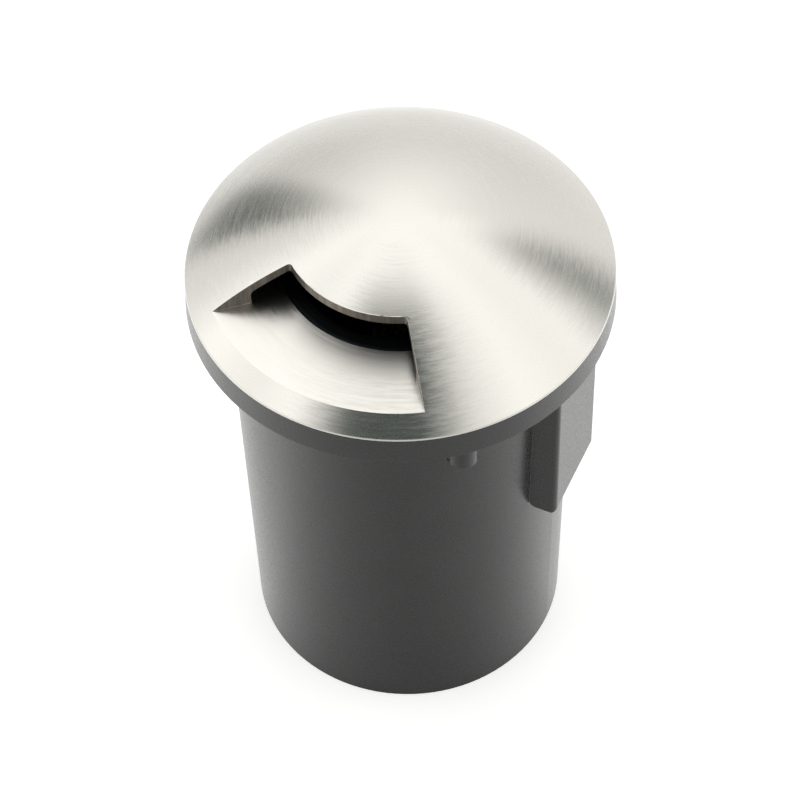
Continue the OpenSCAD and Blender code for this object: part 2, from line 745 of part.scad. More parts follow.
// One lead: up beside the driver board, a quarter bend, and in to the board's edge
module lead() {
    axis_z = optic_z + lead_r;
    low_z = driver_top_z - lead_solder_l;
    bend_z = axis_z - lead_bend_r;
    pad_x = led_board_r - lead_pad_w;
    translate([lead_x, 0, low_z]) cylinder(h = bend_z - low_z, r = lead_r, $fn = 24);
    translate([lead_x - lead_bend_r, 0, bend_z]) rotate([90, 0, 0])
        rotate_extrude(angle = 90, $fn = 48) translate([lead_bend_r, 0])
            circle(r = lead_r, $fn = 24);
    translate([pad_x, 0, axis_z]) rotate([0, 90, 0])
        cylinder(h = lead_x - lead_bend_r - pad_x, r = lead_r, $fn = 24);
}

module led_leads() {
    color("firebrick") for (side = [-1, 1]) translate([0, side * lead_y, 0]) lead();
}

// Insulating tube with a grooved guide on each side for the driver board
module driver_liner() {
    slot_w = driver_t + 2 * guide_play;
    guide_in_x = driver_w / 2 - guide_w / 2;
    color("whitesmoke") difference() {
        translate([0, 0, can_floor_z]) cylinder(h = liner_h, r = liner_r);
        difference() {
            translate([0, 0, can_floor_z - cut]) cylinder(h = liner_h + 2 * cut, r = liner_in_r);
            for (side = [0, 180]) rotate([0, 0, side])
                translate([guide_in_x, -slot_w / 2 - guide_wall, can_floor_z]) difference() {
                    cube([liner_r - guide_in_x, slot_w + 2 * guide_wall, liner_h]);
                    translate([-cut, guide_wall, driver_z - can_floor_z])
                        cube([guide_w / 2 + guide_play + cut, slot_w, liner_h]);
                }
        }
    }
}

module driver_board() {
    color("seagreen") translate([-driver_w / 2, -driver_t / 2, driver_z])
        cube([driver_w, driver_t, driver_h]);
}

// Transformer: two core halves round a wound bobbin
module transformer() {
    leg_h = trafo_h / 5;
    color("darkolivegreen") translate([0, driver_t / 2, trafo_z]) {
        for (low = [-trafo_h / 2, trafo_h / 2 - leg_h])
            translate([-trafo_w / 2, 0, low]) cube([trafo_w, trafo_deep, leg_h]);
        translate([0, trafo_deep / 2, -trafo_h / 2])
            cylinder(h = trafo_h, d = trafo_deep - leg_h / 2);
    }
}

module capacitors() {
    color("midnightblue") for (i = [0:capacitor_count - 1])
        translate([(i - (capacitor_count - 1) / 2) * capacitor_step, -driver_t / 2,
            driver_z + driver_h - capacitor_d]) rotate([90, 0, 0])
                cylinder(h = capacitor_l, d = capacitor_d);
}

module choke() {
    wind_l = choke_l * choke_wind_share;
    color("saddlebrown") translate([0, driver_t / 2, driver_z + part_gap + choke_d / 2])
        rotate([-90, 0, 0]) difference() {
            cylinder(h = choke_l, d = choke_d);
            translate([0, 0, (choke_l - wind_l) / 2]) difference() {
                cylinder(h = wind_l, d = choke_d + cut);
                translate([0, 0, -cut]) cylinder(h = choke_l, d = choke_d * choke_core_share);
            }
        }
}

module terminal_block() {
    pitch = terminal_w / terminal_ways;
    color("green") translate([0, -driver_t / 2 - terminal_deep, driver_z + part_gap]) difference() {
        translate([-terminal_w / 2, 0, 0]) cube([terminal_w, terminal_deep, terminal_h]);
        for (i = [0:terminal_ways - 1]) translate([(i + 0.5) * pitch - terminal_w / 2, 0, 0]) {
            translate([0, terminal_deep / 2, -cut])
                cylinder(h = terminal_h / 2 + cut, d = terminal_way_d);
            translate([0, -cut, terminal_h * terminal_way_share]) rotate([-90, 0, 0])
                cylinder(h = terminal_deep / 3 + cut, d = terminal_way_d);
        }
    }
}

module earth_screw() {
    color("silver") translate([0, -earth_r, can_floor_z]) {
        cylinder(h = earth_washer_t, d = earth_washer_d);
        translate([0, 0, earth_washer_t])
            pan_screw(earth_screw_d, earth_washer_t + can_floor_t / 2, earth_head_d, earth_head_h);
    }
}

// Bore through the gland's metal parts, wider where the rubber seal sits
module gland_body() {
    top_z = can_floor_z + gland_locknut_t + gland_tip;
    low_z = gland_collar_z - gland_low_l;
    color("silver") difference() {
        union() {
            translate([0, 0, gland_collar_z])
                cylinder(h = gland_collar_t, d = gland_hex_d, $fn = 6);
            translate([0, 0, gland_collar_z]) cylinder(h = top_z - gland_collar_z, r = gland_thread_r);
            translate([0, 0, low_z]) cylinder(h = gland_low_l + cut, r = gland_low_r);
        }
        translate([0, 0, low_z - cut])
            cylinder(h = top_z - low_z + 2 * cut, r = gland_seal_r + run_gap);
    }
}

module gland_washer() {
    color("black") translate([0, 0, can_foot_z - gland_washer_t]) difference() {
        cylinder(h = gland_washer_t, d = gland_flats);
        translate([0, 0, -cut])
            cylinder(h = gland_washer_t + 2 * cut, r = gland_thread_r + run_gap);
    }
}

module gland_locknut() {
    color("silver") translate([0, 0, can_floor_z]) difference() {
        cylinder(h = gland_locknut_t, d = gland_hex_d, $fn = 6);
        translate([0, 0, -cut])
            cylinder(h = gland_locknut_t + 2 * cut, r = gland_thread_r + run_gap);
    }
}

module gland_seal() {
    low_z = gland_nut_z + gland_nut_lip;
    color("black") translate([0, 0, low_z]) difference() {
        cylinder(h = gland_seal_l, r = gland_seal_r);
        translate([0, 0, -cut]) cylinder(h = gland_seal_l + 2 * cut, r = gland_bore_r);
    }
}

// Domed nut: a hexagon above, a round nose below that closes in on the seal
module gland_nut() {
    hex_l = gland_nut_l * gland_hex_l_share;
    nose_l = gland_nut_l - hex_l;
    nose_r = gland_flats / 2;
    thread_z = gland_collar_z - gland_low_l;
    color("silver") difference() {
        union() {
            translate([0, 0, gland_nut_top_z - hex_l])
                cylinder(h = hex_l, d = gland_hex_d, $fn = 6);
            translate([0, 0, gland_nut_z])
                cylinder(h = nose_l + cut, r1 = gland_seal_r + gland_skin, r2 = nose_r);
        }
        translate([0, 0, gland_nut_z - cut])
            cylinder(h = gland_nut_l, r = gland_bore_r + slide_gap);
        translate([0, 0, gland_nut_z + gland_nut_lip])
            cylinder(h = gland_nut_l + cut, r = gland_seal_r + run_gap);
        translate([0, 0, thread_z - run_gap])
            cylinder(h = gland_nut_l, r = gland_low_r + run_gap);
    }
}

ground_sleeve();
boss_inserts();
housing();
seat_gasket();
mount_screws();
glass_gasket();
glass();
clamp_ring();
clamp_screws();
glare_baffle();
lens();
led_emitter();
led_board();
board_screws();
carrier_plate();
carrier_screws();
led_leads();
driver_liner();
driver_board();
transformer();
capacitors();
choke();
terminal_block();
earth_screw();
gland_body();
gland_washer();
gland_locknut();
gland_seal();
gland_nut();
cover_oring();
dome_cover();
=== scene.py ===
# Dresses the recessed walk-over light: a turned steel cover, a ground sleeve and the canister between them.
# Metres, in the CAD model's own frame: +Z up, +X towards the cable hood.
import math
import bmesh
import bpy
import numpy as np
from mathutils import Matrix, Vector


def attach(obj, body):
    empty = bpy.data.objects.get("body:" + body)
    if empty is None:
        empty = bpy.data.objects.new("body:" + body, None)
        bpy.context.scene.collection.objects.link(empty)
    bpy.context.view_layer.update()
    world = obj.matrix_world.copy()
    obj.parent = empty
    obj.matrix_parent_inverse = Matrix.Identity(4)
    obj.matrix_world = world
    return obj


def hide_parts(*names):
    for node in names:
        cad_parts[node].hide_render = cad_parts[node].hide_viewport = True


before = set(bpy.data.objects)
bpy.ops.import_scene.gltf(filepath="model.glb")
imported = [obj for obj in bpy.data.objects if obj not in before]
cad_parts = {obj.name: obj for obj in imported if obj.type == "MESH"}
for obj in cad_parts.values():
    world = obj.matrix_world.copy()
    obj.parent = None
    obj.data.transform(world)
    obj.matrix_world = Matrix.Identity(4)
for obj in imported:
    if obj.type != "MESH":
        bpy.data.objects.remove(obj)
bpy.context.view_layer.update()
scene = bpy.context.scene
mm = 0.001
micron = 1e-6


def toLinear(code):
    # sRGB hex to the linear values that shaders use
    parts = [int(code[i:i + 2], 16) / 255 for i in (1, 3, 5)]
    return tuple(p / 12.92 if p <= 0.04045 else ((p + 0.055) / 1.055) ** 2.4 for p in parts) + (1,)


def darker(code, share):
    # The same colour with only a share of its light
    return tuple(share * part for part in toLinear(code)[:3]) + (1,)


def addNode(tree, kind, settings=None, links=None):
    # settings go to the node's own options or, where it has none of that name, to its sockets
    node = tree.nodes.new("ShaderNode" + kind)
    for key, value in (settings or {}).items():
        if isinstance(key, str) and hasattr(node, key):
            setattr(node, key, value)
        else:
            node.inputs[key].default_value = value
    for key, source in (links or {}).items():
        tree.links.new(source, node.inputs[key])
    return node


def setRamp(node, stops):
    # Stops are (place, grey level or colour). Noise hardly leaves 0.35 to 0.65, so ramps over it lie there.
    ramp = node.color_ramp
    while len(ramp.elements) < len(stops):
        ramp.elements.new(0.5)
    for element, (place, value) in zip(ramp.elements, stops):
        element.position = place
        element.color = value if isinstance(value, tuple) else (value, value, value, 1)
    return node


def newMaterial(name):
    material = bpy.data.materials.new(name)
    material.use_nodes = True
    tree = material.node_tree
    shader = tree.nodes["Principled BSDF"]
    place = addNode(tree, "TexCoord")
    return material, tree, shader, place.outputs["Object"]


def roundTheAxis(tree, place):
    # The place with its height left out, how far that is from the light's axis, and the height
    split = addNode(tree, "SeparateXYZ", None, {"Vector": place})
    flat = addNode(tree, "CombineXYZ", None, {"X": split.outputs["X"], "Y": split.outputs["Y"]})
    radius = addNode(tree, "VectorMath", {"operation": "LENGTH"}, {0: flat.outputs["Vector"]})
    return flat.outputs["Vector"], radius.outputs["Value"], split.outputs["Z"]


def fillMesh(name, points, faces, slots, index=None):
    # A mesh from arrays: points in metres, one row of point numbers per face, smooth shaded
    mesh = bpy.data.meshes.new(name)
    mesh.vertices.add(len(points))
    mesh.vertices.foreach_set("co", points.astype(np.float32).ravel())
    mesh.loops.add(faces.size)
    mesh.loops.foreach_set("vertex_index", faces.ravel().astype(np.int32))
    mesh.polygons.add(len(faces))
    mesh.polygons.foreach_set("loop_start", np.arange(0, faces.size, faces.shape[1], dtype=np.int32))
    mesh.polygons.foreach_set("use_smooth", np.ones(len(faces), bool))
    for slot in slots:
        mesh.materials.append(slot)
    if index is not None:
        mesh.polygons.foreach_set("material_index", index.astype(np.int32))
    mesh.update(calc_edges=True)
    return mesh


def standIn(obj, node, body):
    # The new piece takes a CAD node's place and body
    scene.collection.objects.link(obj)
    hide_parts(node)
    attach(obj, body)


def meshFromGrids(name, grids, slots):
    # Each grid is (points as rows x columns x 3 in mm, whether the columns close, material index).
    # A face joins neighbours in the grid, shared borders are welded, and the normals turned outwards.
    points, quads, index, start = [], [], [], 0
    for grid, closed, slot in grids:
        rows, columns = grid.shape[:2]
        ids = np.arange(rows * columns).reshape(rows, columns) + start
        right = np.roll(ids, -1, axis=1) if closed else ids[:, 1:]
        left = ids if closed else ids[:, :-1]
        faces = np.stack([left[:-1], right[:-1], right[1:], left[1:]], axis=-1).reshape(-1, 4)
        points.append(grid.reshape(-1, 3))
        quads.append(faces)
        index.append(np.full(len(faces), slot))
        start += rows * columns
    mesh = fillMesh(name, np.concatenate(points) * mm, np.concatenate(quads), slots, np.concatenate(index))
    weld = 2 * micron
    work = bmesh.new()
    work.from_mesh(mesh)
    bmesh.ops.remove_doubles(work, verts=work.verts, dist=weld)
    bmesh.ops.dissolve_degenerate(work, edges=work.edges, dist=weld)
    bmesh.ops.recalc_face_normals(work, faces=work.faces)
    work.to_mesh(mesh)
    work.free()
    return bpy.data.objects.new(name, mesh)


def breakEdges(obj, width):
    # Breaks corners of over 30 degrees as a deburring tool would; flat faces keep their own shading
    bevel = obj.modifiers.new("brokenEdges", "BEVEL")
    bevel.width = width * mm
    bevel.segments = 2
    bevel.limit_method = "ANGLE"
    bevel.angle_limit = math.radians(30)
    bevel.miter_outer = "MITER_ARC"
    obj.modifiers.new("faceShading", "WEIGHTED_NORMAL").keep_sharp = False


def mergedCopy(node, name, material, lipAbove, lift, within):
    # A copy of a CAD node whose loose triangles share their points again: points within a micron become one,
    # and each corner keeps the normal of the true surface. Points above lipAbove rise by lift, and those
    # outside the radius within are drawn in to it, all in mm.
    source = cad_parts[node].data
    points = np.empty(len(source.vertices) * 3, np.float32)
    source.vertices.foreach_get("co", points)
    points = points.reshape(-1, 3).astype(float)
    corners = np.empty(len(source.loops), np.int32)
    source.loops.foreach_get("vertex_index", corners)
    normals = np.empty(len(source.loops) * 3, np.float32)
    source.corner_normals.foreach_get("vector", normals)
    spots = np.round(points / micron).astype(np.int64)
    _, first, shared = np.unique(spots, axis=0, return_index=True, return_inverse=True)
    faces = shared.reshape(-1)[corners].reshape(-1, 3)
    whole = (faces != np.roll(faces, 1, axis=1)).all(axis=1)
    points = points[first]
    lip = points[:, 2] > lipAbove * mm
    points[lip, 2] += lift * mm
    points[lip, :2] *= np.minimum(1, within * mm / np.hypot(points[lip, 0], points[lip, 1]))[:, None]
    mesh = fillMesh(name, points, faces[whole], [material])
    mesh.normals_split_custom_set(normals.reshape(-1, 3, 3)[whole].reshape(-1, 3))
    return bpy.data.objects.new(name, mesh)


shot = {
    "place": (0.20625, -0.43048, 0.71356),      # metres
    "target": (-0.00098, -0.00047, 0.08078),
    "roll": -1.7816,                            # degrees
    "lens": 132.21, "sensor": 36.0,             # mm
}


def addCamera():
    # The camera's axes: back along the view, right along the level cross product, both rolled
    data = bpy.data.cameras.new("camera")
    data.lens = shot["lens"]
    data.sensor_width = shot["sensor"]
    data.clip_start = 0.01
    data.clip_end = 20
    camera = bpy.data.objects.new("camera", data)
    scene.collection.objects.link(camera)
    place, target = Vector(shot["place"]), Vector(shot["target"])
    ahead = (target - place).normalized()
    right = ahead.cross(Vector((0, 0, 1))).normalized()
    up = right.cross(ahead)
    roll = math.radians(shot["roll"])
    turned = right * math.cos(roll) + up * math.sin(roll)
    upward = up * math.cos(roll) - right * math.sin(roll)
    camera.matrix_world = Matrix((
        (turned.x, upward.x, -ahead.x, place.x), (turned.y, upward.y, -ahead.y, place.y),
        (turned.z, upward.z, -ahead.z, place.z), (0, 0, 0, 1)))
    scene.camera = camera


addCamera()
print("camera set")

studio = {
    "turn": 25.6,          # degrees from the world's -Y to the camera's side
    "mirror": 0.636,       # level part of the direction that the cover's crown mirrors
    # The tent's walls round that direction: degrees from the camera's right, and light level
    "panels": [(0, 0.99), (60, 0.8), (125, 0.65), (190, 0.98), (206, 1.44), (225, 1.2), (250, 1.6), (290, 1.5),
               (320, 1.22), (350, 1.6)],
    # Dark cards in front of the walls, at the left, behind the camera and at the right: from 0 for none to 1
    # by degrees, and where each begins, away from that direction
    "cards": [([(145, 0), (156, 0.84), (172, 0.92), (180, 0)], (0.2, 0.56)),
              ([(239, 0), (253, 0.98), (276, 0.98), (290, 0.3), (304, 0)], (0.34, 0.82)),
              ([(329, 0), (344, 0.82), (350, 0.78), (358, 0.2)], (0.3, 0.7))],
    "cardTint": "#36413e", "wallTint": "#fffefb",
    "crown": 1.37, "crownEdge": (0.0, 0.52),   # level overhead, and where it gives way to the walls
    "floor": "#e2e2e2",
    "floorSeen": 0.56,                         # lift of the floor for the camera and through glass
    "floorMirrored": (0.72, 0.08),             # and in gloss: round the light, and on its front side, a painted shadow where the light's shadow would lie
    "floorFront": (0.2, 1.0),                  # cosines from the front over which the one becomes the other
    "floorFades": (0.2, 0.5, 0.4),             # metres over which the gloss lift falls, and the share that stays
    "floorReach": 3.0, "floorDrop": 0.0001,    # metres: half the floor's side, and how far it lies under the foot
}


def addTent():
    # The room is a white tent with dark cards. Directions are turned to the camera's side, and each wall or
    # card is a wedge round the direction that the crown mirrors, as the ring-brushed cover fans lights out.
    world = bpy.data.worlds.new("studio")
    scene.world = world
    world.use_nodes = True
    tree = world.node_tree
    background = tree.nodes["Background"]
    direction = addNode(tree, "TexCoord").outputs["Generated"]
    turned = addNode(tree, "VectorRotate", {"rotation_type": "Z_AXIS", "Angle": -math.radians(studio["turn"])},
                     {"Vector": direction})
    shifted = addNode(tree, "VectorMath", {"operation": "SUBTRACT", 1: (0, studio["mirror"], 0)},
                      {0: turned.outputs["Vector"]})
    split = addNode(tree, "SeparateXYZ", None, {"Vector": shifted.outputs["Vector"]})
    angle = addNode(tree, "Math", {"operation": "ARCTAN2"}, {0: split.outputs["Y"], 1: split.outputs["X"]})
    share = addNode(tree, "Math", {"operation": "MULTIPLY_ADD", 1: 1 / math.tau, 2: 1.0}, {0: angle.outputs[0]})
    wrapped = addNode(tree, "Math", {"operation": "FRACT"}, {0: share.outputs[0]})
    flat = addNode(tree, "CombineXYZ", None, {"X": split.outputs["X"], "Y": split.outputs["Y"]})
    away = addNode(tree, "VectorMath", {"operation": "LENGTH"}, {0: flat.outputs["Vector"]})

    def wedges(stops, peak):
        ring = [(degrees / 360, level / peak) for degrees, level in stops + [(360, stops[0][1])]]
        return setRamp(addNode(tree, "ValToRGB", None, {"Fac": wrapped.outputs[0]}), ring).outputs["Color"]

    def beyond(edge):
        settings = {"From Min": edge[0], "From Max": edge[1], "interpolation_type": "SMOOTHSTEP"}
        return addNode(tree, "MapRange", settings, {"Value": away.outputs["Value"]}).outputs["Result"]

    peak = max(level for _, level in studio["panels"])
    wallTint, crown = toLinear(studio["wallTint"])[:3], studio["crown"]
    walls = addNode(tree, "VectorMath", {"operation": "MULTIPLY", 1: [c * peak for c in wallTint]},
                    {0: wedges(studio["panels"], peak)})
    lit = addNode(tree, "Mix", {"data_type": "RGBA", 6: tuple(c * crown for c in wallTint) + (1,)},
                  {0: beyond(studio["crownEdge"]), 7: walls.outputs["Vector"]})
    for stops, edge in studio["cards"]:
        hidden = addNode(tree, "Math", {"operation": "MULTIPLY"}, {0: wedges(stops, 1.0), 1: beyond(edge)})
        lit = addNode(tree, "Mix", {"data_type": "RGBA", 7: toLinear(studio["cardTint"])},
                      {0: hidden.outputs[0], 6: lit.outputs[2]})
    ray = addNode(tree, "LightPath")
    seen = addNode(tree, "Mix", {"data_type": "RGBA", 7: (1, 1, 1, 1)},
                   {0: ray.outputs["Is Camera Ray"], 6: lit.outputs[2]})
    tree.links.new(seen.outputs[2], background.inputs["Color"])
    background.inputs["Strength"].default_value = 1.0


def addFloor():
    # A matt white sweep, lifted for the camera, for gloss and for glass, so that it stays white. It takes
    # the light's shadow, and from below it is clear, so that the light's foot can be looked at.
    reach, level = studio["floorReach"], -studio["floorDrop"]
    mesh = bpy.data.meshes.new("floor")
    mesh.from_pydata([(-reach, -reach, level), (reach, -reach, level), (reach, reach, level), (-reach, reach, level)],
                     [], [(0, 1, 2, 3)])
    floor = bpy.data.objects.new("floor", mesh)
    scene.collection.objects.link(floor)
    material = bpy.data.materials.new("studioSweep")
    material.use_nodes = True
    tree = material.node_tree
    shader = tree.nodes["Principled BSDF"]
    shader.inputs["Base Color"].default_value = toLinear(studio["floor"])
    shader.inputs["Roughness"].default_value = 0.9
    shader.inputs["Specular IOR Level"].default_value = 0.0
    shader.inputs["Emission Color"].default_value = (1, 1, 1, 1)
    front = math.radians(studio["turn"])
    place = addNode(tree, "TexCoord").outputs["Object"]
    outward = addNode(tree, "VectorMath", {"operation": "NORMALIZE"}, {0: place})
    facing = addNode(tree, "VectorMath", {"operation": "DOT_PRODUCT", 1: (math.sin(front), -math.cos(front), 0)},
                     {0: outward.outputs["Vector"]})
    # The gloss lift is lower on the camera's side: a painted shadow in what glossy surfaces mirror
    bright, shaded = studio["floorMirrored"]
    beside, ahead = studio["floorFront"]
    mirrored = addNode(tree, "MapRange", {"From Min": beside, "From Max": ahead, "To Min": bright, "To Max": shaded},
                       {"Value": facing.outputs["Value"]})
    fadeStart, fadeEnd, stays = studio["floorFades"]
    distance = addNode(tree, "VectorMath", {"operation": "LENGTH"}, {0: place})
    nearby = addNode(tree, "MapRange", {"From Min": fadeStart, "From Max": fadeEnd, "To Min": 1.0, "To Max": stays},
                     {"Value": distance.outputs["Value"]})
    lifted = addNode(tree, "Math", {"operation": "MULTIPLY"},
                     {0: mirrored.outputs["Result"], 1: nearby.outputs["Result"]})
    ray = addNode(tree, "LightPath")
    direct = addNode(tree, "Math", {"operation": "MAXIMUM"},
                     {0: ray.outputs["Is Camera Ray"], 1: ray.outputs["Is Transmission Ray"]})
    gloss = addNode(tree, "Math", {"operation": "MULTIPLY"}, {0: ray.outputs["Is Glossy Ray"], 1: lifted.outputs[0]})
    lift = addNode(tree, "Math", {"operation": "MULTIPLY_ADD", 1: studio["floorSeen"]},
                   {0: direct.outputs[0], 2: gloss.outputs[0]})
    tree.links.new(lift.outputs[0], shader.inputs["Emission Strength"])
    side = addNode(tree, "NewGeometry")
    clear = addNode(tree, "BsdfTransparent")
    below = addNode(tree, "MixShader", None,
                    {0: side.outputs["Backfacing"], 1: shader.outputs["BSDF"], 2: clear.outputs["BSDF"]})
    tree.links.new(below.outputs["Shader"], tree.nodes["Material Output"].inputs["Surface"])
    mesh.materials.append(material)


addTent()
addFloor()
print("studio set")

cover = {
    # mm: the dome is part of a ball, hollowed from below by a smaller ball with the same middle
    "radius": 55.0, "height": 22.1, "underside": 136.8, "shell": 2.5,
    "edge": 0.6, "softRim": 0.5, "brokenEdge": 0.28,
    "lip": 4.8, "mouth": 30.8, "cavity": 40.0, "fillet": 2.0,
    # degrees and mm: the window's straight sides would meet at the apex, and its back is a circle about the axis
    "windowTurn": -96.9, "windowSpread": 85.6, "windowApex": 5.9, "windowBack": 29.4, "cutter": 1.0,
    # Faces round the window's part and round the rest, and along each stretch of the profile
    "windowColumns": 48, "rimColumns": 168,
    "cornerRows": 8, "shellRows": 8, "filletRows": 6, "floorRows": 14, "crownRows": 25, "skirtRows": 7,
    "easedRows": 6, "brokenRows": 4, "footRows": 4,
    # The greyer tint for the underside is painted shade
    # The window floor's paler tint is painted light
    "steel": "#dedcd7", "litFloorSteel": "#edebe6", "milled": "#918a82", "footShadedTint": "#a5a29e",
    # Near-black tones for the hollow: painted shade
    "hollowShadeLow": "#2b2d2d", "hollowShadeHigh": "#333535",
    "linePitch": 0.45,           # mm between brush lines, about five times as coarse as real ones, so that they show
    "lineLong": (5.0, 25.0),     # mm along the short lines and the long ones
    "lineDepth": 0.002,          # mm
    "lineTone": 0.98,            # share of the light that the steel between the lines keeps
    "plainCrown": (0.0, 12.0),   # mm from the axis over which the rings start to spread light
    "toolLine": (1.3, 16.0),     # mm across and along a mark of the milling cutter, drawn coarser than life
    "toolDepth": 0.05,           # mm
    "toolTone": 0.66,            # share of the light that the darkest marks keep
}


def brushedSteel(name, tint, roughness, anisotropy, scratch, waver):
    # Stainless steel turned on a lathe and brushed in rings: the rings spread each reflection across them,
    # so lights and cards show as wedges that start at the crown. The deeper brush lines are rougher by
    # scratch, so they show as fine light lines inside the dark wedges and hardly at all in the bright ones.
    material, tree, shader, place = newMaterial(name)
    flat, radius, _ = roundTheAxis(tree, place)
    around = addNode(tree, "VectorMath", {"operation": "NORMALIZE"}, {0: flat})
    outward = addNode(tree, "VectorTransform", {"vector_type": "VECTOR", "convert_from": "OBJECT",
                                                "convert_to": "WORLD"}, {"Vector": around.outputs["Vector"]})
    side = addNode(tree, "VectorMath", {"operation": "CROSS_PRODUCT", 0: (0, 0, 1)}, {1: outward.outputs["Vector"]})
    plain = addNode(tree, "NewGeometry")
    across = addNode(tree, "VectorMath", {"operation": "CROSS_PRODUCT"},
                     {0: side.outputs["Vector"], 1: plain.outputs["Normal"]})
    tree.links.new(across.outputs["Vector"], shader.inputs["Tangent"])
    rings = addNode(tree, "Math", {"operation": "MULTIPLY", 1: 1 / (cover["linePitch"] * mm)}, {0: radius})

    def streaks(length):
        # Noise over the ring's number and the place along it, so one streak is about length mm long
        along = addNode(tree, "VectorMath", {"operation": "SCALE", "Scale": 1 / (length * mm)}, {0: flat})
        spot = addNode(tree, "SeparateXYZ", None, {"Vector": along.outputs["Vector"]})
        polar = addNode(tree, "CombineXYZ", None,
                        {"X": rings.outputs[0], "Y": spot.outputs["X"], "Z": spot.outputs["Y"]})
        return addNode(tree, "TexNoise", {"Scale": 1.0, "Detail": 2.0, "Roughness": 0.6},
                       {"Vector": polar.outputs["Vector"]}).outputs["Fac"]

    short, long = (streaks(length) for length in cover["lineLong"])
    half = addNode(tree, "Math", {"operation": "MULTIPLY", 1: 0.5}, {0: long})
    both = addNode(tree, "Math", {"operation": "MULTIPLY_ADD", 1: 0.5}, {0: short, 2: half.outputs[0]})
    lines = both.outputs[0]
    tone = setRamp(addNode(tree, "ValToRGB", None, {"Fac": lines}),
                   [(0.35, darker(tint, cover["lineTone"])), (0.6, toLinear(tint))])
    tree.links.new(tone.outputs["Color"], shader.inputs["Base Color"])
    rough = addNode(tree, "MapRange", {"From Min": 0.44, "From Max": 0.6, "To Min": roughness,
                                       "To Max": roughness + scratch}, {"Value": lines})
    tree.links.new(rough.outputs["Result"], shader.inputs["Roughness"])
    # Each streak leans a little to one side along its ring, which makes the wedges' edges ragged
    lean = addNode(tree, "MapRange", {"From Min": 0.38, "From Max": 0.62, "To Min": -waver, "To Max": waver},
                   {"Value": short})
    tilt = addNode(tree, "VectorMath", {"operation": "SCALE"},
                   {0: side.outputs["Vector"], "Scale": lean.outputs["Result"]})
    leaning = addNode(tree, "VectorMath", {"operation": "ADD"},
                      {0: plain.outputs["Normal"], 1: tilt.outputs["Vector"]})
    upright = addNode(tree, "VectorMath", {"operation": "NORMALIZE"}, {0: leaning.outputs["Vector"]})
    bump = addNode(tree, "Bump", {"Strength": 1.0, "Distance": cover["lineDepth"] * mm},
                   {"Height": lines, "Normal": upright.outputs["Vector"]})
    tree.links.new(bump.outputs["Normal"], shader.inputs["Normal"])
    start, full = cover["plainCrown"]
    spread = addNode(tree, "MapRange", {"From Min": start * mm, "From Max": full * mm, "To Min": 0.0,
                                        "To Max": anisotropy, "interpolation_type": "SMOOTHSTEP"},
                     {"Value": radius})
    tree.links.new(spread.outputs["Result"], shader.inputs["Anisotropic"])
    shader.inputs["Metallic"].default_value = 1.0
    return material


def milledSteel(name, tint, roughness):
    # The same steel where a small cutter left it: duller and darker, with upright tool lines
    material, tree, shader, place = newMaterial(name)
    wide, tall = cover["toolLine"]
    stretched = addNode(tree, "Mapping", {"Scale": (1 / (wide * mm), 1 / (wide * mm), 1 / (tall * mm))},
                        {"Vector": place})
    lines = addNode(tree, "TexNoise", {"Scale": 1.0, "Detail": 3.0, "Roughness": 0.65},
                    {"Vector": stretched.outputs["Vector"]})
    tone = setRamp(addNode(tree, "ValToRGB", None, {"Fac": lines.outputs["Fac"]}),
                   [(0.35, darker(tint, cover["toolTone"])), (0.62, toLinear(tint))])
    tree.links.new(tone.outputs["Color"], shader.inputs["Base Color"])
    bump = addNode(tree, "Bump", {"Strength": 0.8, "Distance": cover["toolDepth"] * mm},
                   {"Height": lines.outputs["Fac"]})
    tree.links.new(bump.outputs["Normal"], shader.inputs["Normal"])
    shader.inputs["Metallic"].default_value = 1.0
    shader.inputs["Roughness"].default_value = roughness
    return material


def domeForm(c):
    # The outer ball passes through the crown and the rim's upper edge, so its radius is the squares of rim
    # radius and rise together over twice the rise. The hollow's ball is smaller by the shell. Between it and
    # the hollow's upright wall runs a fillet, whose centre lies a fillet's radius inside both: it touches the
    # ball at the radius touch and the wall at the height bend. The dome meets the window's floor at reach.
    rise = c["height"] - c["edge"]
    ball = (c["radius"] ** 2 + rise ** 2) / (2 * rise)
    middle = c["underside"] + c["height"] - ball
    inner = ball - c["shell"]
    floor = c["underside"] + c["lip"]
    hollow = c["cavity"] - c["fillet"]
    bend = middle + math.sqrt((inner - c["fillet"]) ** 2 - hollow ** 2)
    touch = hollow * inner / (inner - c["fillet"])
    reach = math.sqrt(ball ** 2 - (floor - middle) ** 2)
    return ball, middle, inner, floor, hollow, bend, touch, reach


